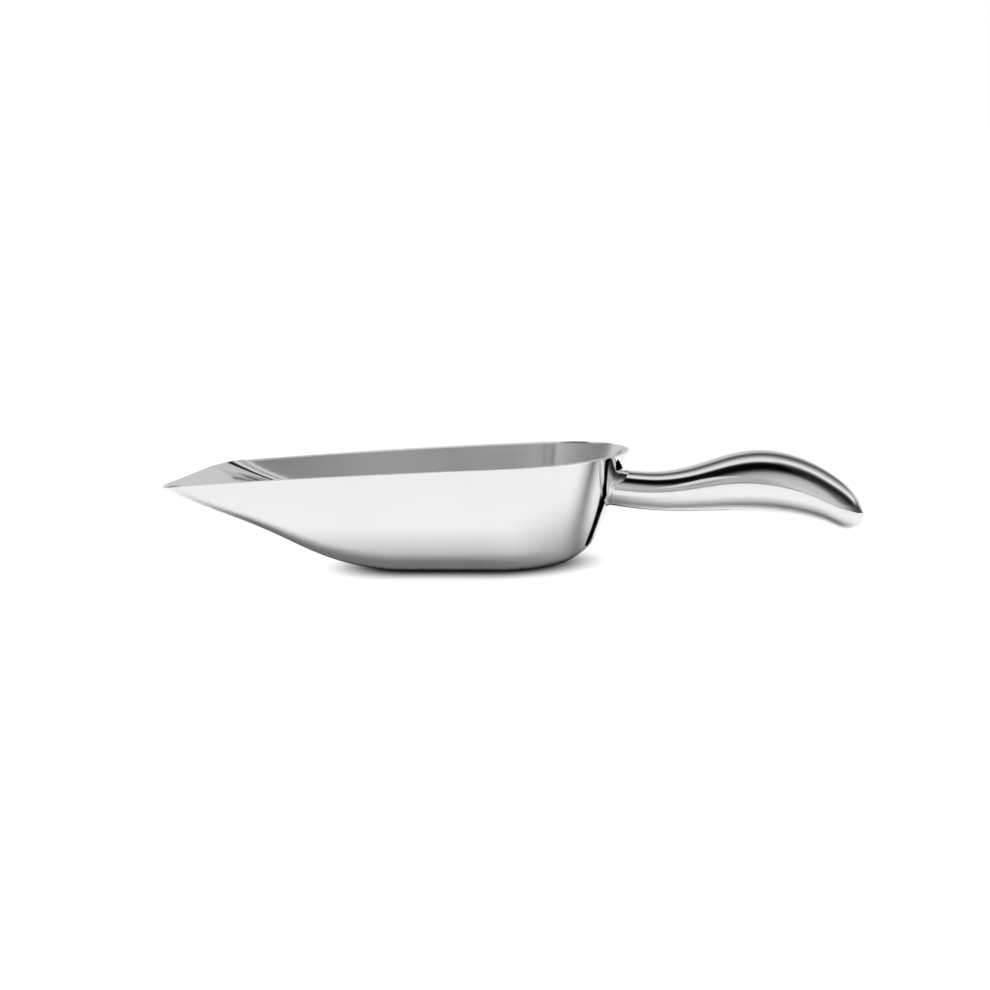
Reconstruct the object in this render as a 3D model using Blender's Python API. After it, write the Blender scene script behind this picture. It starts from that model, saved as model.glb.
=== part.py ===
"""Ice scoop: a pressed steel pan with a hollow, wave-shaped handle welded to its back wall.

Frame: metres, +Z up. The origin is the middle of the pan's flat underside, -X points out
over the pouring lip, +X along the handle, and the scoop is symmetric about Y = 0.
Stations along the scoop are measured from the lip, and turned into X by along().
"""
import math

import bpy
import numpy as np
from mathutils import Vector

MM = 0.001

# ---------------------------------------------------------------- driving dimensions
BASE_CENTRE = 116.0 * MM        # distance from the lip to the origin
PAN_LENGTH = 173.3 * MM
LIP_HALF_WIDTH = 35.7 * MM
BACK_HALF_WIDTH = 40.2 * MM
BACK_END_LENGTH = 42.0 * MM     # the round back end is half an ellipse this long
SHEET = 1.1 * MM                # thickness of the pan's sheet
RIM_EDGE_BEVEL = 0.42 * MM

MID_STATION = 88.7 * MM         # where the rim's height is stated
RIM_HEIGHT = 37.5 * MM
RIM_SLOPE = 0.0412              # the rim climbs towards the handle ...
RIM_CROWN = 1.23 * MM           # ... along a slightly crowned line
LIP_DROP = 1.2 * MM             # the rim dips by this much to meet the lip
LIP_DROP_LENGTH = 13.0 * MM

# A wall leans out by the rim draft at its top and by the foot draft where it meets the
# arc that turns it into the floor. The side walls are nearly straight, the back one bows.
SIDE_RIM_DRAFT = math.radians(9.5)
SIDE_FOOT_DRAFT = math.radians(11.5)
SIDE_RADIUS = 9.5 * MM
BACK_RIM_DRAFT = math.radians(18.5)
BACK_FOOT_DRAFT = math.radians(30.0)
BACK_RADIUS = 13.5 * MM

# The underside of the floor, from the lip down the ramp to the flat base.
RAMP = [(0.0, 31.4), (15.0, 26.3), (30.0, 21.0), (45.0, 14.6), (60.0, 7.2), (74.0, 2.4), (90.0, 0.0)]

# The arc between side wall and floor: tight along the ramp, and wide again at the lip,
# where it rounds the corners of the pouring edge.
FOOT_RADIUS = [(0.0, 15.0), (7.0, 10.5), (15.0, 7.0), (30.0, 5.8), (60.0, 8.4), (74.0, 9.5)]

# The handle's outline in side view. Both lines start at the pan and meet at the tip.
HANDLE_TOP = [(171.4, 33.4), (185.0, 32.7), (200.0, 35.5), (212.0, 39.0), (223.0, 40.3),
              (237.0, 37.5), (250.0, 30.5), (258.0, 22.4), (260.4, 16.8)]
HANDLE_UNDER = [(166.6, 20.3), (185.0, 18.3), (203.0, 18.2), (221.0, 18.2), (237.0, 16.4),
                (248.0, 13.3), (255.3, 11.3), (259.2, 13.2), (260.4, 16.8)]
# Half the handle's width, against the share of its length from the root.
HANDLE_HALF_WIDTH = [(0.0, 6.9), (0.2, 7.4), (0.45, 9.7), (0.65, 11.2), (0.8, 10.6), (0.9, 8.4), (1.0, 0.0)]
HANDLE_WALL = 1.0 * MM

GAP = 0.3 * MM                  # left between pieces that touch
SEAM_HALF_WIDTH = 0.5 * MM      # the weld along the handle's top, tip and underside
WELD_LEG = 1.2 * MM             # the fillet weld around the handle's root, ground small
PLUG_LENGTH = 4.0 * MM
ROOT_LEAN = math.radians(22.0)  # the back wall's lean behind the handle's root

# ---------------------------------------------------------------- mesh fineness
SIDE_STATIONS = 28
END_STATIONS = 14
SECTION_POINTS = 17
WALL_SPACING = 7.0 * MM
ARC_SPACING = math.radians(11.0)
FLOOR_SPACING = 6.5 * MM
SHORTEST_WALL = 1.0 * MM        # drawn above the arc before a low rim cuts it away
LIP_CROWDING = 1.8              # above 1, the cuts stand closer together towards the lip
HANDLE_STATIONS = 34
HANDLE_POINTS = 28
TIP_CROWDING = 1.6              # above 1, the rings stand closer together towards the tip
WELD_STEPS = 3
CUTTER_REACH = 400.0 * MM       # from the origin to the far faces of a cutting box

# ---------------------------------------------------------------- finishes
POLISHED = (0.80, 0.80, 0.79, 1.0)
WELD_TINT = (0.74, 0.74, 0.73, 1.0)


def clear_scene():
    for item in list(bpy.data.objects):
        bpy.data.objects.remove(item, do_unlink=True)


def steel(name, colour, roughness):
    material = bpy.data.materials.new(name)
    material.use_nodes = True
    shader = material.node_tree.nodes["Principled BSDF"]
    shader.inputs["Base Color"].default_value = colour
    shader.inputs["Metallic"].default_value = 1.0
    shader.inputs["Roughness"].default_value = roughness
    return material


def along(station):
    """X of a station measured from the lip."""
    return station - BASE_CENTRE


def ease(share):
    share = min(max(share, 0.0), 1.0)
    return share * share * (3.0 - 2.0 * share)


def mix(first, second, share):
    return first + (second - first) * share


def natural_spline(knots, values):
    """A cubic through the values with free ends, as a function of the knots' parameter."""
    knots = np.asarray(knots, float)
    values = np.asarray(values, float)
    count = len(knots)
    step = np.diff(knots)
    matrix = np.eye(count)
    right = np.zeros((count,) + values.shape[1:])
    for i in range(1, count - 1):
        matrix[i, i - 1:i + 2] = (step[i - 1], 2.0 * (step[i - 1] + step[i]), step[i])
        after = (values[i + 1] - values[i]) / step[i]
        before = (values[i] - values[i - 1]) / step[i - 1]
        right[i] = 6.0 * (after - before)
    bend = np.linalg.solve(matrix, right)

    def value(at):
        i = int(np.clip(np.searchsorted(knots, at) - 1, 0, count - 2))
        a = (knots[i + 1] - at) / step[i]
        b = 1.0 - a
        curve = ((a ** 3 - a) * bend[i] + (b ** 3 - b) * bend[i + 1]) * step[i] ** 2 / 6.0
        return a * values[i] + b * values[i + 1] + curve

    return value


def path_spline(points):
    """A smooth line through the points, followed by the share of its length from 0 to 1."""
    points = np.asarray(points, float) * MM
    reach = np.concatenate([[0.0], np.cumsum(np.linalg.norm(np.diff(points, axis=0), axis=1))])
    return natural_spline(reach / reach[-1], points)


def table_spline(points):
    """A smooth table of millimetres against a plain share."""
    shares, sizes = zip(*points)
    return natural_spline(shares, np.asarray(sizes) * MM)


def station_spline(points):
    """A smooth line against the station, level past its last point. All is in millimetres."""
    stations, sizes = zip(*points)
    curve = natural_spline(np.asarray(stations) * MM, np.asarray(sizes) * MM)
    return lambda station: float(curve(min(station, stations[-1] * MM)))


floor_height = station_spline(RAMP)
side_radius = station_spline(FOOT_RADIUS)
handle_top = path_spline(HANDLE_TOP)
handle_under = path_spline(HANDLE_UNDER)
handle_half_width = table_spline(HANDLE_HALF_WIDTH)


# ---------------------------------------------------------------- the pan
def rim_height(station):
    away = station - MID_STATION
    near_lip = max(0.0, 1.0 - station / LIP_DROP_LENGTH)
    return RIM_HEIGHT + away * RIM_SLOPE - RIM_CROWN * (away / MID_STATION) ** 2 - LIP_DROP * near_lip ** 2


END_CENTRE = PAN_LENGTH - BACK_END_LENGTH


def side_half_width(station):
    share = 1.0 - station / END_CENTRE
    return LIP_HALF_WIDTH + (BACK_HALF_WIDTH - LIP_HALF_WIDTH) * (1.0 - share * share)


class Wall:
    """The outside of a wall from rim to floor: a long arc, then the arc that turns it flat.

    inward and down are distances from the rim. The turn is the wall's lean from upright.
    """

    def __init__(self, tall, rim_draft, foot_draft, radius):
        self.rim_draft = rim_draft
        self.foot_draft = foot_draft
        self.radius = radius
        self.foot_down = tall - radius * (1.0 - math.sin(foot_draft))
        self.long_radius = self.foot_down / (math.sin(foot_draft) - math.sin(rim_draft))
        self.foot_in = self.long_radius * (math.cos(rim_draft) - math.cos(foot_draft))

    def at(self, turn):
        if turn < self.foot_draft:
            inward = self.long_radius * (math.cos(self.rim_draft) - math.cos(turn))
            return inward, self.long_radius * (math.sin(turn) - math.sin(self.rim_draft))
        inward = self.foot_in + self.radius * (math.cos(self.foot_draft) - math.cos(turn))
        return inward, self.foot_down + self.radius * (math.sin(turn) - math.sin(self.foot_draft))

    def turn_below(self, down):
        """The lean at a depth below the rim."""
        if down < self.foot_down:
            return math.asin(math.sin(self.rim_draft) + down / self.long_radius)
        share = math.sin(self.foot_draft) + (down - self.foot_down) / self.radius
        return math.asin(min(1.0, share))


def section(top, outward, wall, first_turn, floor, spine):
    """Outside points of one cut through the pan, from its edge down to the spine.

    top is the wall's rim as station, half width and height, and outward its direction in
    plan. The cut starts on the wall at the first turn.
    """
    station, half_width, rim = top
    foot_in = wall.at(math.pi / 2.0)[0]
    foot = Vector((station - outward.x * foot_in, half_width - outward.y * foot_in, floor))
    middle = Vector((spine, 0.0, floor))
    wall_turn = max(0.0, wall.foot_draft - first_turn)
    arc_turn = math.pi / 2.0 - max(wall.foot_draft, first_turn)
    # Points are shared out by length on the wall and the floor, and by turn on the arc.
    weights = (wall_turn * wall.long_radius / WALL_SPACING, arc_turn / ARC_SPACING,
               (foot - middle).length / FLOOR_SPACING)
    reach_of_foot = weights[0] + weights[1]
    points = []
    for i in range(SECTION_POINTS):
        reach = sum(weights) * i / (SECTION_POINTS - 1)
        if reach >= reach_of_foot:
            spot = foot.lerp(middle, (reach - reach_of_foot) / weights[2])
            points.append((spot.x, spot.y, spot.z))
            continue
        if reach < weights[0]:
            turn = first_turn + wall_turn * reach / weights[0]
        else:
            turn = math.pi / 2.0 - arc_turn * (reach_of_foot - reach) / weights[1]
        inward, down = wall.at(turn)
        points.append((station - outward.x * inward, half_width - outward.y * inward, rim - down))
    return points


def side_cut(station):
    """A cut straight across the pan. Near the lip the rim is so low that it cuts into the arc."""
    floor = floor_height(station)
    rim = rim_height(station)
    radius = side_radius(station)
    arc_height = radius * (1.0 - math.sin(SIDE_FOOT_DRAFT))
    # There the full wall is worked out first, and the cut starts further down on it.
    full_rim = max(rim, floor + arc_height + SHORTEST_WALL)
    half_width = side_half_width(station) + (full_rim - rim) * math.tan(SIDE_FOOT_DRAFT)
    wall = Wall(full_rim - floor, SIDE_RIM_DRAFT, SIDE_FOOT_DRAFT, radius)
    first_turn = wall.turn_below(full_rim - rim)
    return section((station, half_width, full_rim), Vector((0.0, 1.0)), wall, first_turn, floor, station)


def end_cut(angle):
    """A cut square to the round back end, at an angle from the side (0) to the back (90 degrees)."""
    station = END_CENTRE + BACK_END_LENGTH * math.sin(angle)
    half_width = BACK_HALF_WIDTH * math.cos(angle)
    outward = Vector((math.sin(angle) / BACK_END_LENGTH, math.cos(angle) / BACK_HALF_WIDTH)).normalized()
    blend = ease(angle / (math.pi / 2.0))
    rim = rim_height(station)
    wall = Wall(rim, mix(SIDE_RIM_DRAFT, BACK_RIM_DRAFT, blend), mix(SIDE_FOOT_DRAFT, BACK_FOOT_DRAFT, blend),
                mix(SIDE_RADIUS, BACK_RADIUS, blend))
    return section((station, half_width, rim), outward, wall, wall.rim_draft, 0.0, END_CENTRE)


def pan_cuts():
    """Cuts from the lip to the middle of the back wall, on the +Y side."""
    cuts = [side_cut(END_CENTRE * (i / SIDE_STATIONS) ** LIP_CROWDING) for i in range(SIDE_STATIONS)]
    return cuts + [end_cut(math.pi / 2.0 * i / END_STATIONS) for i in range(END_STATIONS + 1)]


def back_wall_station(side, height):
    """Station of the outside of the back wall, at a distance from the middle and a height."""
    rim = rim_height(PAN_LENGTH)
    wall = Wall(rim, BACK_RIM_DRAFT, BACK_FOOT_DRAFT, BACK_RADIUS)
    inset = wall.at(wall.turn_below(rim - height))[0]
    share = side / (BACK_HALF_WIDTH - inset)
    return END_CENTRE + (BACK_END_LENGTH - inset) * math.sqrt(1.0 - share * share)


def make_object(name, points, faces, material):
    mesh = bpy.data.meshes.new(name)
    mesh.from_pydata(points, [], faces)
    mesh.validate()
    mesh.shade_smooth()
    mesh.materials.append(material)
    thing = bpy.data.objects.new(name, mesh)
    bpy.context.collection.objects.link(thing)
    return thing


def build_pan():
    """The pan's outside as one skin, thickened inwards, with its cut edge rounded."""
    points = []
    index = {}

    def vertex(spot):
        key = tuple(round(value, 7) for value in spot)
        if key not in index:
            index[key] = len(points)
            points.append((along(spot[0]), spot[1], spot[2]))
        return index[key]

    faces = []
    cuts = pan_cuts()
    for first, second in zip(cuts, cuts[1:]):
        for k in range(SECTION_POINTS - 1):
            for side in (1.0, -1.0):
                quad = [first[k], first[k + 1], second[k + 1], second[k]]
                ring = [vertex((p[0], side * p[1], p[2])) for p in quad]
                corners = list(dict.fromkeys(ring))
                if side > 0.0:
                    corners.reverse()
                if len(corners) > 2:
                    faces.append(corners)
    pan = make_object("scoop_pan", points, faces, steel("pan_polished_steel", POLISHED, 0.06))
    thicken = pan.modifiers.new("sheet", "SOLIDIFY")
    thicken.thickness = SHEET
    thicken.offset = -1.0
    thicken.use_even_offset = True
    soften = pan.modifiers.new("rim_edge", "BEVEL")
    soften.limit_method = "ANGLE"
    soften.angle_limit = math.radians(55.0)
    soften.width = RIM_EDGE_BEVEL
    soften.segments = 2
    return pan


# ---------------------------------------------------------------- the handle
def handle_ring(share, inset):
    """Points around the handle at a share of its length, drawn in from its skin by the inset."""
    top = handle_top(share)
    under = handle_under(share)
    centre = (top + under) / 2.0
    rise = (top - under) / 2.0
    tall = max(float(np.linalg.norm(rise)), 1e-9)
    rise = rise * max(tall - inset, 0.0) / tall
    wide = max(float(handle_half_width(share)) - inset, 0.0)
    ring = []
    for i in range(HANDLE_POINTS):
        turn = 2.0 * math.pi * i / HANDLE_POINTS
        spot = centre + rise * math.cos(turn)
        ring.append(Vector((spot[0], wide * math.sin(turn), spot[1])))
    return ring


def on_back_wall(spot, clearance):
    """The spot moved along X until it is the clearance behind the pan's back wall."""
    return Vector((back_wall_station(spot.y, spot.z) + clearance, spot.y, spot.z))


def handle_share(i):
    """Shares of the handle's length, closing up towards the round tip."""
    return 1.0 - (1.0 - i / HANDLE_STATIONS) ** TIP_CROWDING


def ring_strip(first, second, count):
    return [(first + k, second + k, second + (k + 1) % count, first + (k + 1) % count) for k in range(count)]


def placed(points):
    return [(along(p.x), p.y, p.z) for p in points]


def handle_skin(name, material):
    """The handle's outside, open at the root, with its wall thickness inwards."""
    clearance = GAP / math.cos(ROOT_LEAN)
    points = []
    for spot, inner in zip(handle_ring(0.0, 0.0), handle_ring(0.0, HANDLE_WALL)):
        # The slanted wall may stand further out behind the shell's inner edge.
        clear_of = max(on_back_wall(spot, clearance).x, on_back_wall(inner, clearance).x)
        points.append(Vector((clear_of, spot.y, spot.z)))
    faces = []
    for i in range(1, HANDLE_STATIONS):
        points += handle_ring(handle_share(i), 0.0)
        faces += ring_strip((i - 1) * HANDLE_POINTS, i * HANDLE_POINTS, HANDLE_POINTS)
    tip = handle_top(1.0)
    points.append(Vector((tip[0], 0.0, tip[1])))
    last = (HANDLE_STATIONS - 1) * HANDLE_POINTS
    faces += [(last + k, len(points) - 1, last + (k + 1) % HANDLE_POINTS) for k in range(HANDLE_POINTS)]
    skin = make_object(name, placed(points), faces, material)
    thicken = skin.modifiers.new("wall", "SOLIDIFY")
    thicken.thickness = HANDLE_WALL
    thicken.offset = -1.0
    thicken.use_even_offset = True
    return skin


def keep_between(thing, low, high):
    """Keep the part of a piece between two planes across Y."""
    ends = (-CUTTER_REACH, CUTTER_REACH)
    corners = [(x, y, z) for x in ends for y in (low, high) for z in ends]
    sides = [(0, 1, 3, 2), (4, 6, 7, 5), (0, 4, 5, 1), (2, 3, 7, 6), (0, 2, 6, 4), (1, 5, 7, 3)]
    mesh = bpy.data.meshes.new(thing.name + "_cutter")
    mesh.from_pydata(corners, [], sides)
    cutter = bpy.data.objects.new(thing.name + "_cutter", mesh)
    bpy.context.collection.objects.link(cutter)
    cutter.hide_render = True
    cutter.display_type = "WIRE"
    cut = thing.modifiers.new("split", "BOOLEAN")
    cut.operation = "INTERSECT"
    cut.solver = "EXACT"
    cut.object = cutter


def build_handle():
    """Two pressed half shells and the weld that joins them along the middle plane."""
    edge = SEAM_HALF_WIDTH + GAP
    shell = steel("handle_polished_steel", POLISHED, 0.06)
    keep_between(handle_skin("handle_shell_left", shell), -CUTTER_REACH, -edge)
    keep_between(handle_skin("handle_shell_right", shell), edge, CUTTER_REACH)
    keep_between(handle_skin("seam_weld", steel("seam_ground_flush", WELD_TINT, 0.10)),
                 -SEAM_HALF_WIDTH, SEAM_HALF_WIDTH)


def build_root_plug():
    """A solid steel plug that fills the shells' open root and backs their weld to the pan."""
    inset = HANDLE_WALL + GAP
    front = []
    for spot in handle_ring(0.0, inset):
        middle = on_back_wall(Vector((0.0, 0.0, spot.z)), GAP / math.cos(ROOT_LEAN))
        front.append(Vector((middle.x, spot.y, spot.z)))
    back = [spot + Vector((PLUG_LENGTH, 0.0, 0.0)) for spot in front]
    reach = PLUG_LENGTH / (handle_top(1.0)[0] - handle_top(0.0)[0])
    heights = handle_ring(reach, inset)
    back = [Vector((spot.x, near.y, near.z)) for spot, near in zip(back, heights)]
    points = front + back
    faces = ring_strip(0, HANDLE_POINTS, HANDLE_POINTS)
    faces.append(tuple(reversed(range(HANDLE_POINTS, 2 * HANDLE_POINTS))))
    faces.append(tuple(range(HANDLE_POINTS)))
    make_object("handle_root_plug", placed(points), faces, steel("plug_turned_steel", WELD_TINT, 0.35))


def build_root_weld():
    """The fillet weld round the root: a ring with a hollow face between handle and wall."""
    rings = []
    for k in range(WELD_STEPS + 1):
        # From the toe on the wall to the toe on the handle, along a quarter circle.
        turn = math.pi / 2.0 * k / WELD_STEPS
        out = WELD_LEG * (1.0 - math.sin(turn)) + GAP
        back = WELD_LEG * (1.0 - math.cos(turn)) + GAP
        rings.append((out, back))
    rings.append((GAP, GAP))
    points = []
    for out, back in rings:
        for spot in handle_ring(0.0, -out):
            points.append(on_back_wall(spot, back / math.cos(ROOT_LEAN)))
    faces = []
    for k in range(len(rings)):
        here = k * HANDLE_POINTS
        there = ((k + 1) % len(rings)) * HANDLE_POINTS
        faces += ring_strip(here, there, HANDLE_POINTS)
    make_object("root_weld", placed(points), faces, steel("root_weld_polished", WELD_TINT, 0.10))


clear_scene()
build_pan()
build_handle()
build_root_plug()
build_root_weld()
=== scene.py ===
# %% [markdown]
# # A polished steel ice scoop
#
# This scoop is a pan pressed from one steel sheet, with a hollow handle welded to its back
# wall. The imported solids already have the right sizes, but their facets show in a mirror
# finish: polished steel is only as smooth as the mesh under it. So this lesson rebuilds the
# surfaces finely on the same design lines, gives them a polished steel made of nodes, and
# lights them the way polished ware is lit, with large plain cards around it.

# %% Load the frame
import math

import bpy
import numpy as np
from mathutils import Matrix, Vector


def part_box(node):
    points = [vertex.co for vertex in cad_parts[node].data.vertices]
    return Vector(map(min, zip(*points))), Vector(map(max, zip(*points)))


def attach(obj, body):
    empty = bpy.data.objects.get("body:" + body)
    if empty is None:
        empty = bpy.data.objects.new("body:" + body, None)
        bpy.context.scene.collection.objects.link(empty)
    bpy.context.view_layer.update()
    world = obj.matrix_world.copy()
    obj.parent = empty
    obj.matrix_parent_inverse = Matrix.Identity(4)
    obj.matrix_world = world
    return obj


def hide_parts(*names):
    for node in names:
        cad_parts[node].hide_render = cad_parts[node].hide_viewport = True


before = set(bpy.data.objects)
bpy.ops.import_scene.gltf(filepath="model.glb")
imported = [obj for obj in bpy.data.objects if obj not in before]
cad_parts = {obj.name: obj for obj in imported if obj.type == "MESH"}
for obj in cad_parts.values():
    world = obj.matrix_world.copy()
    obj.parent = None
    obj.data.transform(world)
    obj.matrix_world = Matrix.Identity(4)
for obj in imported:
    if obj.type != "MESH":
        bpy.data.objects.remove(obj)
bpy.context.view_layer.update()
pan_low, pan_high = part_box("scoop_pan")
print("the pan in it:", pan_low, pan_high)

# %% [markdown]
# ## Small helpers
#
# Operators act on whatever is selected, and loading the frame leaves its nodes selected.
# These helpers deselect everything first and then select just one thing.

# %% Helpers for objects, modes and modifiers
MM = 0.001


def pick(thing):
    bpy.ops.object.select_all(action="DESELECT")
    thing.select_set(True)
    bpy.context.view_layer.objects.active = thing
    return thing


def edit_all(thing):
    """Edit mode with the whole mesh selected."""
    pick(thing)
    bpy.ops.object.mode_set(mode="EDIT")
    bpy.ops.mesh.select_all(action="SELECT")


def leave_edit():
    bpy.ops.object.mode_set(mode="OBJECT")


def apply_modifiers(thing):
    pick(thing)
    for modifier in list(thing.modifiers):
        bpy.ops.object.modifier_apply(modifier=modifier.name)


def natural_spline(knots, values):
    """A smooth curve through the values with free ends, as a function of the knots' parameter."""
    knots = np.asarray(knots, float)
    values = np.asarray(values, float)
    count = len(knots)
    step = np.diff(knots)
    matrix = np.eye(count)
    right = np.zeros((count,) + values.shape[1:])
    for i in range(1, count - 1):
        matrix[i, i - 1:i + 2] = (step[i - 1], 2.0 * (step[i - 1] + step[i]), step[i])
        after = (values[i + 1] - values[i]) / step[i]
        before = (values[i] - values[i - 1]) / step[i - 1]
        right[i] = 6.0 * (after - before)
    bend = np.linalg.solve(matrix, right)

    def value(at):
        i = int(np.clip(np.searchsorted(knots, at) - 1, 0, count - 2))
        a = (knots[i + 1] - at) / step[i]
        b = 1.0 - a
        curve = ((a ** 3 - a) * bend[i] + (b ** 3 - b) * bend[i + 1]) * step[i] ** 2 / 6.0
        return a * values[i] + b * values[i + 1] + curve

    return value


def ease(share):
    share = min(max(share, 0.0), 1.0)
    return share * share * (3.0 - 2.0 * share)


def mix(first, second, share):
    return first + (second - first) * share


# %% [markdown]
# ## The pan's design lines
#
# The lines are measured from the lip, in the same order as a pattern maker would draw them:
# the rim, the ramp under it, and how far the walls lean. They repeat the sizes that the
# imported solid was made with, so that the new skin lies on it.

# %% Sizes of the pan
PAN_LENGTH = 173.3 * MM
BACK_HALF_WIDTH = 40.2 * MM
LIP_HALF_WIDTH = 35.7 * MM
BACK_END_LENGTH = 42.0 * MM
END_CENTRE = PAN_LENGTH - BACK_END_LENGTH
ORIGIN_STATION = 116.0 * MM

MID_STATION = 88.7 * MM
RIM_HEIGHT = 37.5 * MM
RIM_SLOPE = 0.0412
RIM_CROWN = 1.23 * MM
LIP_DROP = 1.2 * MM
LIP_DROP_LENGTH = 13.0 * MM

SIDE_LEAN = (math.radians(9.5), math.radians(11.5))
SIDE_RADIUS = 9.5 * MM
BACK_LEAN = (math.radians(18.5), math.radians(30.0))
BACK_RADIUS = 13.5 * MM
SHEET = 1.1 * MM

RAMP = [(0.0, 31.4), (15.0, 26.3), (30.0, 21.0), (45.0, 14.6), (60.0, 7.2), (74.0, 2.4), (90.0, 0.0)]
ramp_curve = natural_spline([x * MM for x, z in RAMP], [z * MM for x, z in RAMP])
FOOT_RADIUS = [(0.0, 15.0), (7.0, 10.5), (15.0, 7.0), (30.0, 5.8), (60.0, 8.4), (74.0, 9.5)]
foot_radius_curve = natural_spline([x * MM for x, r in FOOT_RADIUS], [r * MM for x, r in FOOT_RADIUS])


def along(station):
    """X of a station measured from the lip."""
    return station - ORIGIN_STATION


def floor_height(station):
    return float(ramp_curve(station)) if station < RAMP[-1][0] * MM else 0.0


def foot_radius(station):
    return float(foot_radius_curve(station)) if station < FOOT_RADIUS[-1][0] * MM else SIDE_RADIUS


def rim_height(station):
    away = station - MID_STATION
    near_lip = max(0.0, 1.0 - station / LIP_DROP_LENGTH)
    return RIM_HEIGHT + away * RIM_SLOPE - RIM_CROWN * (away / MID_STATION) ** 2 - LIP_DROP * near_lip ** 2


def side_half_width(station):
    share = 1.0 - station / END_CENTRE
    return LIP_HALF_WIDTH + (BACK_HALF_WIDTH - LIP_HALF_WIDTH) * (1.0 - share * share)


class Wall:
    """The outside of a wall from rim to floor: a long arc, then the arc that turns it flat."""

    def __init__(self, tall, rim_lean, foot_lean, radius):
        self.rim_lean, self.foot_lean, self.radius = rim_lean, foot_lean, radius
        self.foot_down = tall - radius * (1.0 - math.sin(foot_lean))
        self.long_radius = self.foot_down / (math.sin(foot_lean) - math.sin(rim_lean))
        self.foot_in = self.long_radius * (math.cos(rim_lean) - math.cos(foot_lean))

    def at(self, turn):
        """How far in and down the wall has come when it leans by the turn."""
        if turn < self.foot_lean:
            inward = self.long_radius * (math.cos(self.rim_lean) - math.cos(turn))
            return inward, self.long_radius * (math.sin(turn) - math.sin(self.rim_lean))
        inward = self.foot_in + self.radius * (math.cos(self.foot_lean) - math.cos(turn))
        return inward, self.foot_down + self.radius * (math.sin(turn) - math.sin(self.foot_lean))

    def turn_below(self, down):
        if down < self.foot_down:
            return math.asin(math.sin(self.rim_lean) + down / self.long_radius)
        return math.asin(min(1.0, math.sin(self.foot_lean) + (down - self.foot_down) / self.radius))


# %% Cuts through the pan
CUT_POINTS = 60
SIDE_CUTS = 96
END_CUTS = 56
EDGE_ROW = 1.0 * MM         # a narrow row under the rim, so that its rounding stays crisp
WALL_SPACING = 7.0 * MM
ARC_SPACING = math.radians(11.0)
FLOOR_SPACING = 6.5 * MM
LIP_CROWDING = 1.8          # cuts lie closer together towards the lip
SHORTEST_WALL = 1.0 * MM    # drawn above the arc before a low rim cuts it away


def cut_points(top, outward, wall, first_turn, floor, spine):
    """Outside points of one cut, from the pan's edge down the wall and in to the spine."""
    station, half_width, rim = top
    foot_in = wall.at(math.pi / 2.0)[0]
    foot = Vector((station - outward.x * foot_in, half_width - outward.y * foot_in, floor))
    middle = Vector((spine, 0.0, floor))
    wall_turn = max(0.0, wall.foot_lean - first_turn)
    arc_turn = math.pi / 2.0 - max(wall.foot_lean, first_turn)
    weights = (wall_turn * wall.long_radius / WALL_SPACING, arc_turn / ARC_SPACING,
               (foot - middle).length / FLOOR_SPACING)
    reach_of_foot = weights[0] + weights[1]
    points = []
    edge = EDGE_ROW / WALL_SPACING
    reaches = [0.0] + [mix(edge, sum(weights), i / (CUT_POINTS - 2)) for i in range(CUT_POINTS - 1)]
    for reach in reaches:
        if reach >= reach_of_foot:
            points.append(foot.lerp(middle, (reach - reach_of_foot) / weights[2]))
            continue
        if reach < weights[0]:
            turn = first_turn + wall_turn * reach / weights[0]
        else:
            turn = math.pi / 2.0 - arc_turn * (reach_of_foot - reach) / weights[1]
        inward, down = wall.at(turn)
        points.append(Vector((station - outward.x * inward, half_width - outward.y * inward, rim - down)))
    return points


def side_cut(station):
    floor = floor_height(station)
    rim = rim_height(station)
    radius = foot_radius(station)
    full_rim = max(rim, floor + radius * (1.0 - math.sin(SIDE_LEAN[1])) + SHORTEST_WALL)
    half_width = side_half_width(station) + (full_rim - rim) * math.tan(SIDE_LEAN[1])
    wall = Wall(full_rim - floor, *SIDE_LEAN, radius)
    first_turn = wall.turn_below(full_rim - rim)
    return cut_points((station, half_width, full_rim), Vector((0.0, 1.0)), wall, first_turn, floor, station)


def end_cut(angle):
    station = END_CENTRE + BACK_END_LENGTH * math.sin(angle)
    half_width = BACK_HALF_WIDTH * math.cos(angle)
    outward = Vector((math.sin(angle) / BACK_END_LENGTH, math.cos(angle) / BACK_HALF_WIDTH)).normalized()
    blend = ease(angle / (math.pi / 2.0))
    rim = rim_height(station)
    leans = [mix(side, back, blend) for side, back in zip(SIDE_LEAN, BACK_LEAN)]
    wall = Wall(rim, *leans, mix(SIDE_RADIUS, BACK_RADIUS, blend))
    return cut_points((station, half_width, rim), outward, wall, leans[0], 0.0, END_CENTRE)


cuts = [side_cut(END_CENTRE * (i / SIDE_CUTS) ** LIP_CROWDING) for i in range(SIDE_CUTS)]
cuts += [end_cut(math.pi / 2.0 * i / END_CUTS) for i in range(END_CUTS + 1)]
print("the pan is drawn with", len(cuts), "cuts of", CUT_POINTS, "points on each side")

# %% [markdown]
# ## The pan's skin
#
# A grid primitive is the sheet before pressing: one row for each cut, and columns from rim
# to rim. Pressing it is a matter of moving every row onto its cut. The rows of the round
# end meet at a point of the flat floor, where doubles are merged. Solidify then gives the
# sheet its thickness inwards, and a bevel rounds its cut edge.

# %% Press the sheet
MERGE_REACH = 0.00001
EDGE_ROUNDING = 0.42 * MM
columns = 2 * CUT_POINTS - 1
bpy.ops.object.select_all(action="DESELECT")
bpy.ops.mesh.primitive_grid_add(x_subdivisions=len(cuts) - 1, y_subdivisions=columns - 1, size=0.1)
pan = bpy.context.object
pan.name = "scoop_pan_skin"

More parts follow.
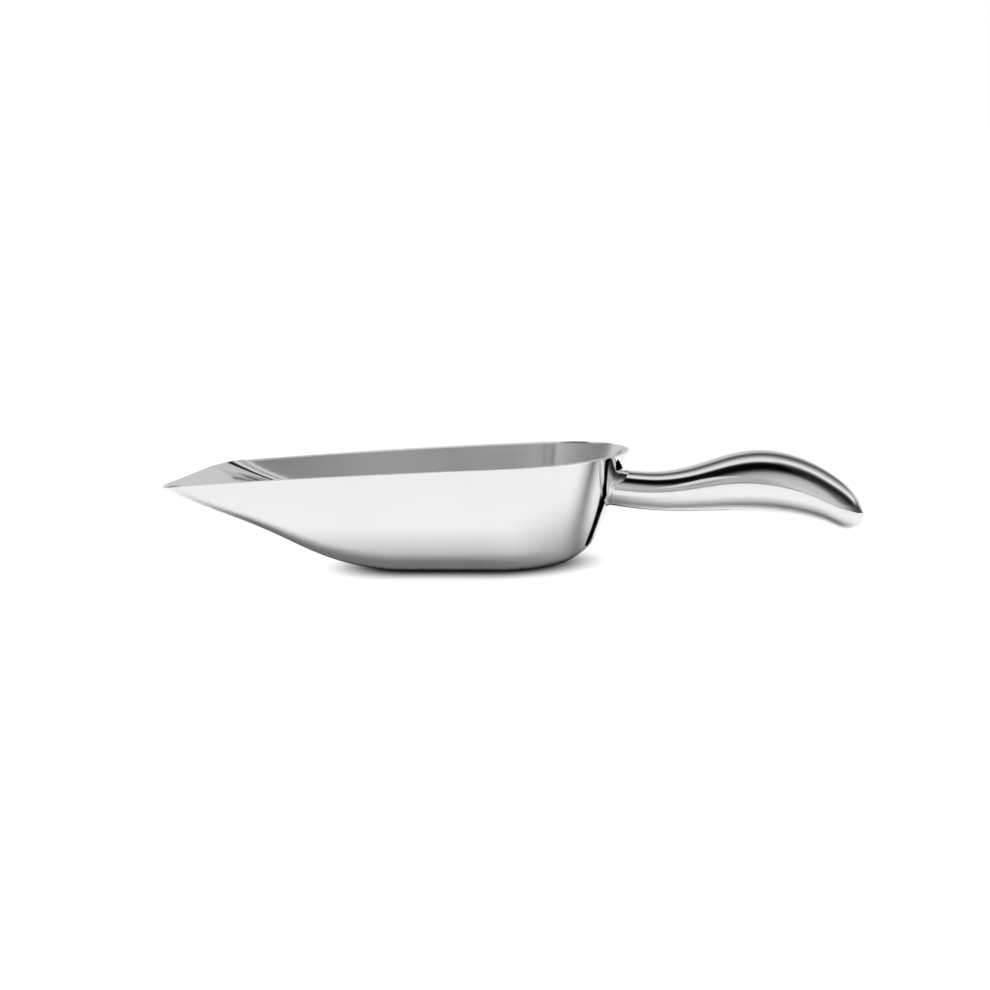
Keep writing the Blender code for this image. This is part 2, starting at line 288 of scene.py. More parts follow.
# The primitive's own order of vertices isn't relied on: each is placed by its row and column.
rows_of = sorted({round(v.co.x, 6) for v in pan.data.vertices})
columns_of = sorted({round(v.co.y, 6) for v in pan.data.vertices})
for v in pan.data.vertices:
    row = rows_of.index(round(v.co.x, 6))
    column = columns_of.index(round(v.co.y, 6))
    side = 1.0 if column >= CUT_POINTS else -1.0
    depth = column if column < CUT_POINTS else columns - 1 - column
    spot = cuts[row][depth]
    v.co = (along(spot.x), side * spot.y, spot.z)

edit_all(pan)
bpy.ops.mesh.remove_doubles(threshold=MERGE_REACH)
bpy.ops.mesh.select_all(action="SELECT")
bpy.ops.mesh.normals_make_consistent(inside=False)
leave_edit()

# The outside of the sheet faces down where the pan rests on the table.
lowest = min(pan.data.polygons, key=lambda face: face.center.z)
if lowest.normal.z > 0.0:
    edit_all(pan)
    bpy.ops.mesh.flip_normals()
    leave_edit()

thicken = pan.modifiers.new("sheet", "SOLIDIFY")
thicken.thickness = SHEET
thicken.offset = -1.0
thicken.use_even_offset = True
thicken.material_offset = 1
thicken.material_offset_rim = 2
round_edge = pan.modifiers.new("rim_edge", "BEVEL")
round_edge.limit_method = "ANGLE"
round_edge.angle_limit = math.radians(55.0)
round_edge.width = EDGE_ROUNDING
round_edge.segments = 4
round_edge.material = 2
print("pan skin:", len(pan.data.polygons), "faces")

# %% [markdown]
# ## The handle
#
# The real handle is two pressed half shells, welded on their middle plane and polished
# until no seam shows. So one closed skin stands for the shells and their weld. It starts as
# a circle at the root. The circle is extruded station by station, and each new ring is
# turned, stretched and moved to span the handle's upper and lower outline.

# %% Outlines of the handle
HANDLE_TOP = [(171.4, 33.4), (185.0, 32.7), (200.0, 35.5), (212.0, 39.0), (223.0, 40.3),
              (237.0, 37.5), (250.0, 30.5), (258.0, 22.4), (260.4, 16.8)]
HANDLE_UNDER = [(166.6, 20.3), (185.0, 18.3), (203.0, 18.2), (221.0, 18.2), (237.0, 16.4),
                (248.0, 13.3), (255.3, 11.3), (259.2, 13.2), (260.4, 16.8)]
HANDLE_HALF_WIDTH = [(0.0, 6.9), (0.2, 7.4), (0.45, 9.7), (0.65, 11.2), (0.8, 10.6), (0.9, 8.4), (1.0, 0.0)]
RING_POINTS = 88
HANDLE_RINGS = 150
TIP_CROWDING = 1.6          # rings lie closer together towards the tip
ROOT_OVERLAP = 0.9 * MM     # the skin runs this far into the pan's wall, so that no gap shows


def path_spline(points):
    points = np.asarray(points, float) * MM
    reach = np.concatenate([[0.0], np.cumsum(np.linalg.norm(np.diff(points, axis=0), axis=1))])
    return natural_spline(reach / reach[-1], points)


handle_top = path_spline(HANDLE_TOP)
handle_under = path_spline(HANDLE_UNDER)
half_width_at = natural_spline([s for s, w in HANDLE_HALF_WIDTH], [w * MM for s, w in HANDLE_HALF_WIDTH])


def ring_at(share):
    """Centre, half height, half width and tilt of the handle's ring at a share of its length."""
    top, under = handle_top(share), handle_under(share)
    rise = (top - under) / 2.0
    middle = (top + under) / 2.0
    tall = float(np.linalg.norm(rise))
    tilt = math.atan2(rise[0], rise[1])
    return Vector((along(middle[0]), 0.0, middle[1])), tall, float(half_width_at(share)), tilt


# %% Extrude the handle
def turn_ring(angle):
    bpy.ops.transform.rotate(value=angle, orient_axis="Y", center_override=(0.0, 0.0, 0.0))


def shape_ring(ring):
    """Bring the selected unit circle, which lies flat on the origin, to its place on the handle."""
    centre, tall, wide, tilt = ring
    bpy.ops.transform.resize(value=(tall, wide, 1.0), center_override=(0.0, 0.0, 0.0))
    turn_ring(math.pi / 2.0 - tilt)
    bpy.ops.transform.translate(value=centre)


def unshape_ring(ring):
    """The way back, from a ring in its place to the flat unit circle."""
    centre, tall, wide, tilt = ring
    bpy.ops.transform.translate(value=-centre)
    turn_ring(tilt - math.pi / 2.0)
    bpy.ops.transform.resize(value=(1.0 / tall, 1.0 / wide, 1.0), center_override=(0.0, 0.0, 0.0))


shares = [1.0 - (1.0 - i / HANDLE_RINGS) ** TIP_CROWDING for i in range(HANDLE_RINGS)]
rings = [ring_at(share) for share in shares]
rings[0][0].x -= ROOT_OVERLAP
bpy.ops.object.select_all(action="DESELECT")
bpy.ops.mesh.primitive_circle_add(vertices=RING_POINTS, radius=1.0, fill_type="NGON")
handle = bpy.context.object
handle.name = "handle_body"
edit_all(handle)
shape_ring(rings[0])
for before, ring in zip(rings, rings[1:]):
    bpy.ops.mesh.extrude_region_move()
    unshape_ring(before)
    shape_ring(ring)
tip = Vector((along(handle_top(1.0)[0]), 0.0, handle_top(1.0)[1]))
bpy.ops.mesh.merge(type="CENTER")
bpy.ops.transform.translate(value=tip - rings[-1][0])
bpy.ops.mesh.select_all(action="SELECT")
bpy.ops.mesh.normals_make_consistent(inside=False)
leave_edit()
print("handle:", len(handle.data.polygons), "faces from", len(rings), "rings")

# %% [markdown]
# ## The weld at the root
#
# Where the handle meets the pan, the weld is ground to a small hollow fillet. It is a torus
# primitive whose sections are laid in the corner: on the outside a curve that leaves the
# handle and lands on the wall, and on the inside a few points sunk into both, where they
# don't show. Casting rays at the pan finds its wall under each section.

# %% Lay the fillet
FILLET_LEG = 0.6 * MM
FILLET_SINK = 0.3 * MM
FILLET_CURVE = 10
FILLET_TURNS = 96
FILLET_STEP = 0.0005        # share of the handle's length between two tries
FILLET_CORNER = 0.4         # where the corner lies, as a share of the way to the fillet's edge
AHEAD = 30.0 * MM           # rays start this far behind the wall


def handle_point(share, turn, grow=0.0):
    """A point of the handle's skin at a turn around its section, or a little outside it."""
    centre, tall, wide, tilt = ring_at(share)
    out = (tall + grow) * math.cos(turn)
    return centre + Vector((out * math.sin(tilt), (wide + grow) * math.sin(turn), out * math.cos(tilt)))


def wall_behind(point):
    """Where a line along the handle through the point meets the pan's back wall."""
    start = point + Vector((AHEAD, 0.0, 0.0))
    return pan.ray_cast(start, Vector((-1.0, 0.0, 0.0)))[1]


def fillet_section(turn):
    share = 0.0
    while (handle_point(share, turn) - wall_behind(handle_point(share, turn))).x < FILLET_LEG:
        share += FILLET_STEP
    on_handle = handle_point(share, turn)
    corner = wall_behind(handle_point(share * FILLET_CORNER, turn))
    on_wall = wall_behind(handle_point(0.0, turn, grow=FILLET_LEG))
    curve = []
    for i in range(FILLET_CURVE + 1):
        t = i / FILLET_CURVE
        curve.append(on_handle.lerp(corner, t).lerp(corner.lerp(on_wall, t), t))
    inward = (rings[0][0] - corner)
    inward.x = 0.0
    sink_handle = inward.normalized() * FILLET_SINK
    sink_wall = Vector((-FILLET_SINK, 0.0, 0.0))
    return curve + [on_wall + sink_wall, corner + sink_wall + sink_handle, on_handle + sink_handle]


section_size = FILLET_CURVE + 4
bpy.ops.object.select_all(action="DESELECT")
bpy.ops.mesh.primitive_torus_add(major_segments=FILLET_TURNS, minor_segments=section_size)
fillet = bpy.context.object
fillet.name = "root_fillet"
for turn in range(FILLET_TURNS):
    section = fillet_section(2.0 * math.pi * turn / FILLET_TURNS)
    for i, spot in enumerate(section):
        fillet.data.vertices[turn * section_size + i].co = spot
edit_all(fillet)
bpy.ops.mesh.normals_make_consistent(inside=False)
leave_edit()
print("root fillet:", len(fillet.data.polygons), "faces")

# %% [markdown]
# ## Polished steel
#
# Steel has no colour of its own to speak of: what is seen is the room in it. Two things
# make it steel and not a perfect mirror. Polishing leaves fine hairlines along the stroke
# of the belt, and handling leaves faint smudges that blur the reflection here and there.
# One node group makes both, and each finish uses it with its own strengths.

# %% The group of polishing marks
group = bpy.data.node_groups.new("polishing_marks", "ShaderNodeTree")
for name, start in (("Stroke", None), ("Roughness", 0.08), ("Hairline", 0.03), ("Smudge", 0.03),
                    ("Tone", 0.8), ("Tone change", 0.03)):
    kind = "NodeSocketVector" if start is None else "NodeSocketFloat"
    socket = group.interface.new_socket(name, in_out="INPUT", socket_type=kind)
    if start is not None:
        socket.default_value = start
for name, kind in (("Color", "NodeSocketColor"), ("Roughness", "NodeSocketFloat"),
                   ("Height", "NodeSocketFloat")):
    group.interface.new_socket(name, in_out="OUTPUT", socket_type=kind)


def node(tree, kind, place, **values):
    """Add a node at a place on the grid and set its properties and input values."""
    made = tree.nodes.new(kind)
    made.location = (220.0 * place[0], -190.0 * place[1])
    for name, value in values.items():
        if name in made.inputs:
            made.inputs[name].default_value = value
        else:
            setattr(made, name, value)
    return made


def wire(tree, *pairs):
    for out_socket, in_socket in pairs:
        tree.links.new(out_socket, in_socket)


entry = node(group, "NodeGroupInput", (0, 0))
leave = node(group, "NodeGroupOutput", (6, 0))
lines = node(group, "ShaderNodeTexNoise", (2, 0), Scale=900.0, Detail=3.0, Roughness=0.6)
coordinates = node(group, "ShaderNodeTexCoord", (1, 2))
cloud = node(group, "ShaderNodeTexNoise", (2, 2), Scale=38.0, Detail=4.0, Roughness=0.55)
spread = node(group, "ShaderNodeMapRange", (3, 2))
spread.inputs["From Min"].default_value = 0.42
spread.inputs["From Max"].default_value = 0.72
line_part = node(group, "ShaderNodeMath", (4, 0), operation="MULTIPLY")
cloud_part = node(group, "ShaderNodeMath", (4, 1), operation="MULTIPLY")
both = node(group, "ShaderNodeMath", (5, 0), operation="ADD")
rough = node(group, "ShaderNodeMath", (5, 1), operation="ADD")
tone_part = node(group, "ShaderNodeMath", (4, 3), operation="MULTIPLY")
tone = node(group, "ShaderNodeMath", (5, 3), operation="SUBTRACT")
wire(group,
     (entry.outputs["Stroke"], lines.inputs["Vector"]),
     (coordinates.outputs["Object"], cloud.inputs["Vector"]),
     (cloud.outputs["Fac"], spread.inputs["Value"]),
     (lines.outputs["Fac"], line_part.inputs[0]), (entry.outputs["Hairline"], line_part.inputs[1]),
     (spread.outputs["Result"], cloud_part.inputs[0]), (entry.outputs["Smudge"], cloud_part.inputs[1]),
     (line_part.outputs[0], both.inputs[0]), (cloud_part.outputs[0], both.inputs[1]),
     (both.outputs[0], rough.inputs[0]), (entry.outputs["Roughness"], rough.inputs[1]),
     (spread.outputs["Result"], tone_part.inputs[0]), (entry.outputs["Tone change"], tone_part.inputs[1]),
     (entry.outputs["Tone"], tone.inputs[0]), (tone_part.outputs[0], tone.inputs[1]),
     (tone.outputs[0], leave.inputs["Color"]),
     (rough.outputs[0], leave.inputs["Roughness"]),
     (lines.outputs["Fac"], leave.inputs["Height"]))
print("polishing marks:", len(group.nodes), "nodes")

# %% A steel for each finish
def steel(name, stroke, roughness, hairline, smudge, tone, bump):
    """Steel polished along the direction in which the stroke's scale is small."""
    material = bpy.data.materials.new(name)
    material.use_nodes = True
    tree = material.node_tree
    shader = tree.nodes["Principled BSDF"]
    shader.inputs["Metallic"].default_value = 1.0
    place = node(tree, "ShaderNodeTexCoord", (-5, 0))
    stretch = node(tree, "ShaderNodeMapping", (-4, 0), Scale=stroke)
    marks = node(tree, "ShaderNodeGroup", (-3, 0), node_tree=group)
    for socket, value in (("Roughness", roughness), ("Hairline", hairline), ("Smudge", smudge),
                          ("Tone", tone), ("Tone change", 0.02)):
        marks.inputs[socket].default_value = value
    relief = node(tree, "ShaderNodeBump", (-2, 1), Strength=bump, Distance=0.00002)
    wire(tree,
         (place.outputs["Object"], stretch.inputs["Vector"]),
         (stretch.outputs["Vector"], marks.inputs["Stroke"]),
         (marks.outputs["Color"], shader.inputs["Base Color"]),
         (marks.outputs["Roughness"], shader.inputs["Roughness"]),
         (marks.outputs["Height"], relief.inputs["Height"]),
         (relief.outputs["Normal"], shader.inputs["Normal"]))
    return material


LENGTHWISE = (0.06, 1.0, 1.0)
CROSSWISE = (1.0, 1.0, 0.08)
pan_outside = steel("pan_outside_polish", LENGTHWISE, 0.07, 0.03, 0.03, 0.84, 0.15)
pan_inside = steel("pan_inside_polish", LENGTHWISE, 0.10, 0.04, 0.04, 0.82, 0.15)
pan_rim = steel("pan_rim_polish", LENGTHWISE, 0.12, 0.03, 0.02, 0.86, 0.1)
handle_polish = steel("handle_polish", LENGTHWISE, 0.06, 0.02, 0.03, 0.84, 0.1)
weld_polish = steel("weld_polish", CROSSWISE, 0.12, 0.04, 0.03, 0.82, 0.3)
plug_steel = steel("plug_brushed", CROSSWISE, 0.3, 0.12, 0.04, 0.7, 0.5)

# %% Finish the pieces
for material in (pan_outside, pan_inside, pan_rim):
    pan.data.materials.append(material)
handle.data.materials.append(handle_polish)
fillet.data.materials.append(weld_polish)
apply_modifiers(pan)
pan.name = "pan_body"
for piece in (pan, handle):
    pick(piece)
    bpy.ops.object.shade_smooth()
pick(fillet)
bpy.ops.object.shade_smooth_by_angle(angle=math.radians(35.0))
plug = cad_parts["handle_root_plug"]
plug.data.materials.clear()
plug.data.materials.append(plug_steel)

for piece, slot, nodes in ((pan, "pan_steel", ("scoop_pan",)),
                           (handle, "handle_steel", ("handle_shell_left", "handle_shell_right", "seam_weld")),
                           (fillet, "weld_steel", ("root_weld",))):
    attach(piece, "root")
    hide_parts(*nodes)
    print(piece.name, len(piece.data.polygons), "faces")

# %% [markdown]
# ## The stage
#
# A white floor, and round it a room and a few cards that only reflections see. What the
# steel shows is this floor, the room and the cards.

# %% Floor
FLOOR_SIZE = 12.0
FLOOR_DROP = 0.2 * MM
bpy.ops.object.select_all(action="DESELECT")
bpy.ops.mesh.primitive_plane_add(size=FLOOR_SIZE, location=(0.0, 0.0, -FLOOR_DROP))
floor = bpy.context.object
floor.name = "studio_floor"


def matt(name, tone):
    """A plain matt stage finish, with its tree and its shader."""
    material = bpy.data.materials.new(name)
    material.use_nodes = True
    shader = material.node_tree.nodes["Principled BSDF"]
    shader.inputs["Base Color"].default_value = (tone, tone, tone, 1.0)
    shader.inputs["Roughness"].default_value = 1.0
    shader.inputs["Specular IOR Level"].default_value = 0.0
    return material, material.node_tree, shader


# The steel sees a matt sheet lit by the lamp, with a painted falloff that makes it darker far in front.
# The picture sees the same sheet as a glowing light table: evenly white, with a painted contact
# shadow where the foot of the pan comes close to it.
floor_paint, tree, in_steel = matt("white_sheet_painted_shade", 0.40)
# The painted contact shadow: a rounded box round the pan's foot, where the floor's glow is dimmed.
FOOT_CENTRE = (-0.004, -0.009)
FOOT_HALF_LENGTH = 0.016
FOOT_HALF_WIDTH = 0.021
SHADOW_INSIDE = 0.004
SHADOW_REACH = 0.019
PAINTED_SHADOW_LIGHT = 0.012
OPEN_LIGHT = 1.04
# Painted falloff of light: the sheet that the steel sees is darker far in front of the scoop.
PAINTED_FALLOFF_TONE = (0.17, 0.40)     # of the sheet far in front, and near the scoop
FLOOR_FADE = (-1.0, -0.12)
spot = node(tree, "ShaderNodeTexCoord", (-8, 4)).outputs["Object"]
spot_parts = node(tree, "ShaderNodeSeparateXYZ", (-7, 4))
tree.links.new(spot, spot_parts.inputs[0])


def arithmetic(tree, place, operation, *inputs):
    """A Math node; each input is a number or a socket."""
    made = node(tree, "ShaderNodeMath", place, operation=operation)
    for i, value in enumerate(inputs):
        if isinstance(value, (int, float)):
            made.inputs[i].default_value = value
        else:
            tree.links.new(value, made.inputs[i])
    return made.outputs[0]


def smooth_range(tree, place, value, low, high, at_low, at_high):
    made = node(tree, "ShaderNodeMapRange", place, interpolation_type="SMOOTHSTEP")
    for socket, number in (("From Min", low), ("From Max", high), ("To Min", at_low), ("To Max", at_high)):
        made.inputs[socket].default_value = number
    tree.links.new(value, made.inputs["Value"])
    return made.outputs["Result"]


from_centre = arithmetic(tree, (-6, 4), "SUBTRACT", spot_parts.outputs["X"], FOOT_CENTRE[0])
past_centre = arithmetic(tree, (-5, 4), "SUBTRACT", arithmetic(tree, (-6, 5), "ABSOLUTE", from_centre),
                         FOOT_HALF_LENGTH)
beyond = arithmetic(tree, (-4, 4), "MAXIMUM", past_centre, 0.0)
beside = arithmetic(tree, (-5, 6), "SUBTRACT", spot_parts.outputs["Y"], FOOT_CENTRE[1])
away = arithmetic(tree, (-3, 4), "SQRT", arithmetic(
    tree, (-3, 5), "ADD", arithmetic(tree, (-4, 5), "MULTIPLY", beyond, beyond),
    arithmetic(tree, (-4, 6), "MULTIPLY", beside, beside)))
# Painted contact shadow: the glow is dimmest at the foot and full beyond the shadow's reach.
floor_glow_painted_shadow = smooth_range(tree, (-2, 4), away, FOOT_HALF_WIDTH - SHADOW_INSIDE,
                           FOOT_HALF_WIDTH + SHADOW_REACH, PAINTED_SHADOW_LIGHT, OPEN_LIGHT)
painted_falloff_tone = smooth_range(tree, (-2, 2), spot_parts.outputs["Y"], *FLOOR_FADE, *PAINTED_FALLOFF_TONE)
in_picture = node(tree, "ShaderNodeEmission", (-1, 3))
path = node(tree, "ShaderNodeLightPath", (1, -2))
choose = node(tree, "ShaderNodeMixShader", (2, 0))
wire(tree,
     (floor_glow_painted_shadow, in_picture.inputs["Strength"]), (painted_falloff_tone, in_steel.inputs["Base Color"]),
     (path.outputs["Is Camera Ray"], choose.inputs["Fac"]),
     (in_steel.outputs[0], choose.inputs[1]), (in_picture.outputs[0], choose.inputs[2]),
     (choose.outputs[0], tree.nodes["Material Output"].inputs["Surface"]))
floor.data.materials.append(floor_paint)

# %% [markdown]
# ### The room
#
# The room is drawn in the World. Near the horizon it is a ring of walls, whose brightness
# changes with the compass direction. Above that it is a run of long softboxes and a black
# gap between them, curved round one pole like lines of latitude. On the right they are
# dimmer, as a softbox is near its end.

# %% Room
ROOM_STEEL = 0.84           # how much of the room the steel gives back
RAMP_SCALE = 2.0            # ramps hold the light divided by this, so that it stays under 1
BAND_POLE = (26.0, -14.0)   # azimuth and height of the pole
BANDS = [(0, 190), (48, 192), (58, 172), (64, 150), (68, 104), (72, 58), (76, 14), (80, 4), (91, 6),
         (95, 24), (99, 96), (103, 216), (108, 230), (114, 218), (118, 202), (122, 170), (126, 145),
         (131, 105), (137, 82), (142, 92), (148, 140), (153, 180), (160, 196), (180, 200)]
BANDS_RIGHT = [(0, 200), (40, 172), (50, 128), (58, 107), (66, 84), (74, 58), (82, 36), (90, 32), (95, 56),
               (99, 90), (103, 160), (107, 210), (110, 238), (114, 230), (118, 202), (123, 180), (130, 161),
               (135, 155), (142, 178), (150, 197), (180, 200)]
RIGHT_STARTS = (20.0, 60.0)
RIGHT_ENDS = (142.0, 168.0)
RING = [(-180, 196), (-114, 205), (-102, 145), (-90, 130), (-76, 130), (-64, 152), (-52, 166), (-34, 181),
        (-15, 168), (0, 205), (20, 202), (40, 196), (60, 184), (80, 144), (100, 92), (120, 66), (140, 72),
        (152, 170), (160, 205), (180, 196)]
RING_TOP = (10.0, 20.0)


def light_of(tone):
    """The light that makes the steel show a screen tone from 0 to 255."""
    share = tone / 255.0
    linear = share / 12.92 if share <= 0.04045 else ((share + 0.055) / 1.055) ** 2.4
    return linear / ROOM_STEEL


def tone_ramp(tree, place, stops, low, high):
    """A colour ramp whose stops are places and screen tones."""
    ramp = node(tree, "ShaderNodeValToRGB", place)
    elements = ramp.color_ramp.elements
    for i, (spot, tone) in enumerate(stops):
        position = (spot - low) / (high - low)
        stop = elements[i] if i < 2 else elements.new(position)
        stop.position = position
        light = light_of(tone) / RAMP_SCALE
        stop.color = (light, light, light, 1.0)
    return ramp


def heading_vector(azimuth, height):
    """The direction at an azimuth from -Y towards +X and a height angle, both in degrees."""
    a, h = math.radians(azimuth), math.radians(height)
    return Vector((math.sin(a) * math.cos(h), -math.cos(a) * math.cos(h), math.sin(h)))


def along_heading(tree, place, vector, heading):
    """How far a vector goes along a heading."""
    made = node(tree, "ShaderNodeVectorMath", place, operation="DOT_PRODUCT")
    made.inputs[1].default_value = heading
    tree.links.new(vector, made.inputs[0])
    return made.outputs["Value"]


world = bpy.data.worlds.new("studio_room")
bpy.context.scene.world = world
world.use_nodes = True
world.cycles_visibility.diffuse = False
tree = world.node_tree
tree.nodes.clear()
direction = node(tree, "ShaderNodeTexCoord", (0, 0)).outputs["Generated"]
parts = node(tree, "ShaderNodeSeparateXYZ", (1, 0))
tree.links.new(direction, parts.inputs[0])
east, north, up = parts.outputs
forward = arithmetic(tree, (2, 0), "MULTIPLY", north, -1.0)
azimuth = arithmetic(tree, (3, 0), "ARCTAN2", east, forward)
azimuth_share = arithmetic(tree, (4, 0), "MULTIPLY_ADD", azimuth, 0.5 / math.pi, 0.5)
ring = tone_ramp(tree, (5, 0), RING, -180.0, 180.0)
tree.links.new(azimuth_share, ring.inputs["Fac"])

to_pole = along_heading(tree, (2, 2), direction, heading_vector(*BAND_POLE))
from_pole = arithmetic(tree, (4, 2), "DIVIDE", arithmetic(tree, (3, 2), "ARCCOSINE", to_pole), math.pi)
bands = tone_ramp(tree, (5, 2), BANDS, 0.0, 180.0)
bands_right = tone_ramp(tree, (5, 3), BANDS_RIGHT, 0.0, 180.0)
started = smooth_range(tree, (4, 4), azimuth, *[math.radians(a) for a in RIGHT_STARTS], 0.0, 1.0)
not_ended = smooth_range(tree, (4, 5), azimuth, *[math.radians(a) for a in RIGHT_ENDS], 1.0, 0.0)
on_right = arithmetic(tree, (5, 4), "MULTIPLY", started, not_ended)
overhead = node(tree, "ShaderNodeMix", (7, 2), data_type="RGBA")
above = smooth_range(tree, (6, 1), up, *[math.sin(math.radians(a)) for a in RING_TOP], 0.0, 1.0)
room = node(tree, "ShaderNodeMix", (9, 0), data_type="RGBA")
shown = node(tree, "ShaderNodeBackground", (13, 1))
shown.inputs["Color"].default_value = (1.0, 1.0, 1.0, 1.0)
mirrored = node(tree, "ShaderNodeBackground", (13, 0))
mirrored.inputs["Strength"].default_value = RAMP_SCALE
path = node(tree, "ShaderNodeLightPath", (13, -2))
choose = node(tree, "ShaderNodeMixShader", (14, 0))
end = node(tree, "ShaderNodeOutputWorld", (15, 0))
wire(tree,
     (from_pole, bands.inputs["Fac"]), (from_pole, bands_right.inputs["Fac"]),
     (on_right, overhead.inputs["Factor"]),
     (bands.outputs["Color"], overhead.inputs[6]), (bands_right.outputs["Color"], overhead.inputs[7]),
     (above, room.inputs["Factor"]), (ring.outputs["Color"], room.inputs[6]),
     (overhead.outputs[2], room.inputs[7]),
     (room.outputs[2], mirrored.inputs["Color"]),
     (path.outputs["Is Camera Ray"], choose.inputs["Fac"]),
     (mirrored.outputs[0], choose.inputs[1]), (shown.outputs[0], choose.inputs[2]),
     (choose.outputs[0], end.inputs["Surface"]))
print("room:", len(tree.nodes), "nodes")

# %% [markdown]
# ### Cards
#
# Round polished shapes look flat without a dark edge. A black card lies on the floor behind
# the bowl and draws the dark stripe down its round back. Two strips of black card near the
# handle's root carry the dark up to the rim. A gradient card in front gives the flat far
# wall its middle grey. Two cards over the mouth draw the bright lines and the black one in
# the fold between wall and ramp. Only reflections see the cards.

# %% Cards
def card(name, material, corners):
    """A flat card through the corners, which only reflections see."""
    bpy.ops.object.select_all(action="DESELECT")
    bpy.ops.mesh.primitive_circle_add(vertices=len(corners), radius=0.01, fill_type="NGON")
    made = bpy.context.object
    made.name = name
    for v, corner in zip(made.data.vertices, corners):
        v.co = corner
    made.data.update()
    made.visible_camera = False
    made.visible_diffuse = False
    made.visible_shadow = False
    made.data.materials.append(material)


def flat_corners(outline, height):
    """Corners of a level card from an outline in millimetres."""
    return [(x * MM, y * MM, height * MM) for x, y in outline]


# The outlines run round so that the cards' fronts face the bowl's back wall.
FLOOR_CARD = [(44.0, 9.0), (53.0, 16.5), (60.0, 20.0), (68.0, 23.0), (77.0, 25.0), (87.0, 26.0),
              (104.0, 66.0), (96.0, 84.0), (74.0, 60.0), (60.0, 42.0), (50.0, 36.0), (43.0, 29.0), (39.0, 17.0)]
FLANK_CARD = [(50.0, 21.5), (52.5, 23.3), (55.5, 24.6), (57.5, 26.6), (60.5, 27.8), (63.5, 28.6),
              (66.0, 29.8), (68.0, 31.0), (66.0, 33.8), (63.5, 34.6), (61.5, 34.2), (60.0, 32.2),
              (58.6, 31.0), (57.0, 30.0), (55.6, 28.9), (53.6, 27.5), (52.0, 26.2), (50.5, 24.8)]
FLANK_CARD_Y = -7.8
TOP_CARD = [(53.0, -6.4), (55.5, -5.6), (58.0, -3.6), (60.6, -1.4), (62.0, 2.0), (59.0, 4.0), (53.0, 3.0)]
TOP_CARD_HEIGHT = 33.75
black = matt("black_card", 0.0)[0]
card("floor_card", black, flat_corners(FLOOR_CARD, -0.1))

# These are black to what comes from the bowl and clear to what leaves the handle.
one_sided, tree, dark_side = matt("one_sided_card", 0.0)
clear_side = node(tree, "ShaderNodeBsdfTransparent", (0, 3))
facing = node(tree, "ShaderNodeNewGeometry", (0, 5))
choose = node(tree, "ShaderNodeMixShader", (2, 0))
wire(tree,
     (facing.outputs["Backfacing"], choose.inputs["Fac"]),
     (dark_side.outputs[0], choose.inputs[1]), (clear_side.outputs[0], choose.inputs[2]),
     (choose.outputs[0], tree.nodes["Material Output"].inputs["Surface"]))
card("flank_card", one_sided, [(x * MM, FLANK_CARD_Y * MM, z * MM) for x, z in FLANK_CARD])
card("top_card", one_sided, flat_corners(TOP_CARD, TOP_CARD_HEIGHT))

# %% Gradient cards
GREY_CARD_X = (-205.0, -60.0)
GREY_CARD_Z = (88.0, 140.0)
GREY_CARD_Y = -350.0
GREY_CARD = [(-205, 110), (-184, 114), (-172, 134), (-149, 156), (-126, 141), (-110, 132),
             (-102, 135), (-94, 146), (-86.5, 162), (-78, 174), (-60, 178)]
MOUTH_CARD_X = (-150.0, -5.0)
MOUTH_CARD_HEIGHT = 127.0
MOUTH_CARD = [(-260, 207), (-180, 217), (-130, 208), (-100, 190), (-70, 170), (-40, 172), (-24, 182),
              (-10, 202), (0, 218), (9, 214), (15, 150), (19, 10), (41, 10), (45, 150), (50, 193), (180, 193)]
WHITE_CARD = [(-62.0, 46.0), (-5.0, 46.0), (-5.0, 96.0), (-62.0, 96.0)]
WHITE_CARD_TONE = 244


def glowing(name, axis, stops):
    """An emissive finish whose tone changes along an axis, by stops in millimetres."""
    material = bpy.data.materials.new(name)
    material.use_nodes = True
    tree = material.node_tree
    tree.nodes.clear()
    low, high = stops[0][0] * MM, stops[-1][0] * MM
    spot_parts = node(tree, "ShaderNodeSeparateXYZ", (1, 0))
    reach = node(tree, "ShaderNodeMapRange", (2, 0))
    reach.inputs["From Min"].default_value = low
    reach.inputs["From Max"].default_value = high
    ramp = tone_ramp(tree, (3, 0), [(spot * MM, tone) for spot, tone in stops], low, high)
    glow = node(tree, "ShaderNodeEmission", (4, 0), Strength=RAMP_SCALE)
    end = node(tree, "ShaderNodeOutputMaterial", (6, 0))
    wire(tree,
         (node(tree, "ShaderNodeTexCoord", (0, 0)).outputs["Object"], spot_parts.inputs[0]),
         (spot_parts.outputs[axis], reach.inputs["Value"]),
         (reach.outputs["Result"], ramp.inputs["Fac"]), (ramp.outputs["Color"], glow.inputs["Color"]),
         (glow.outputs[0], end.inputs["Surface"]))
    return material


card("grey_card", glowing("grey_card", "X", GREY_CARD), [(x * MM, GREY_CARD_Y * MM, z * MM) for x, z in (
    (GREY_CARD_X[0], GREY_CARD_Z[0]), (GREY_CARD_X[1], GREY_CARD_Z[0]),
    (GREY_CARD_X[1], GREY_CARD_Z[1]), (GREY_CARD_X[0], GREY_CARD_Z[1]))])
mouth_low, mouth_high = MOUTH_CARD[0][0], MOUTH_CARD[-1][0]
card("mouth_card", glowing("mouth_card", "Y", MOUTH_CARD), flat_corners(
    [(MOUTH_CARD_X[0], mouth_low), (MOUTH_CARD_X[1], mouth_low),
     (MOUTH_CARD_X[1], mouth_high), (MOUTH_CARD_X[0], mouth_high)], MOUTH_CARD_HEIGHT))
card("white_card", glowing("white_card", "Y", [(46, WHITE_CARD_TONE), (96, WHITE_CARD_TONE)]),
     flat_corners(WHITE_CARD, MOUTH_CARD_HEIGHT - 1.0))

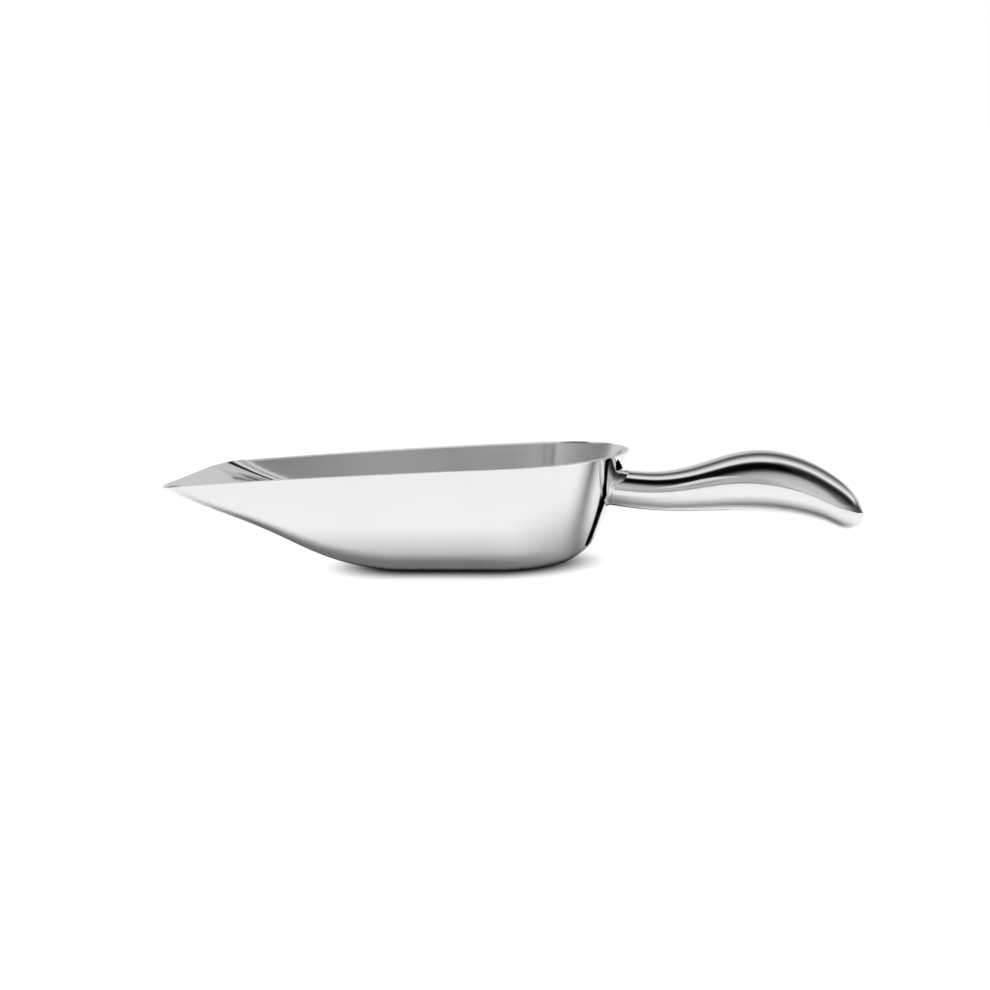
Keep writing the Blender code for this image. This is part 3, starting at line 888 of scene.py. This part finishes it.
# %% [markdown]
# ### Lamps and camera
#
# Two soft lamps light the matt floor. They are hidden from reflections, because the room
# already draws the softboxes that the steel shows. The camera stands low beside the pan's
# long wall, a little towards the handle.

# %% Lights
def soft_light(name, place, aim, size, power):
    data = bpy.data.lights.new(name, "AREA")
    data.shape = "RECTANGLE"
    data.size, data.size_y = size
    data.energy = power
    lamp = bpy.data.objects.new(name, data)
    bpy.context.scene.collection.objects.link(lamp)
    lamp.location = place
    lamp.rotation_mode = "QUATERNION"
    lamp.rotation_quaternion = (Vector(aim) - Vector(place)).to_track_quat("-Z", "Y")
    lamp.visible_glossy = False


soft_light("overhead_softbox", (0.0, 0.35, 1.6), (0.0, 0.0, 0.0), (2.4, 1.3), 88.0)
soft_light("front_fill", (0.0, -1.3, 1.3), (0.0, 0.0, 0.0), (2.0, 0.8), 20.0)
print("lamps:", [lamp.name for lamp in bpy.data.lights])

# %% Camera
AZIMUTH = math.radians(15.09)
ELEVATION = math.radians(8.04)
ROLL = math.radians(2.45)
DISTANCE = 1.1322
SENSOR = 36.0               # millimetres, as is the lens
LENS = 109.1
AIM = Vector((0.0039, 0.0091, 0.02295))
back = Vector((math.sin(AZIMUTH) * math.cos(ELEVATION), -math.cos(AZIMUTH) * math.cos(ELEVATION),
               math.sin(ELEVATION)))
camera_data = bpy.data.cameras.new("camera")
camera_data.sensor_width = SENSOR
camera_data.lens = LENS
camera = bpy.data.objects.new("camera", camera_data)
bpy.context.scene.collection.objects.link(camera)
level = (-back).to_track_quat("-Z", "Y").to_matrix().to_4x4()
camera.matrix_world = Matrix.Translation(AIM + back * DISTANCE) @ level @ Matrix.Rotation(-ROLL, 4, "Z")
bpy.context.scene.camera = camera
bpy.context.scene.view_settings.view_transform = "Standard"
print("camera at", [round(v, 3) for v in AIM + back * DISTANCE])

# %% [markdown]
# ## The end
#
# The new skins have to fill the same space as the imported solids.

# %% Finish
bpy.context.view_layer.update()
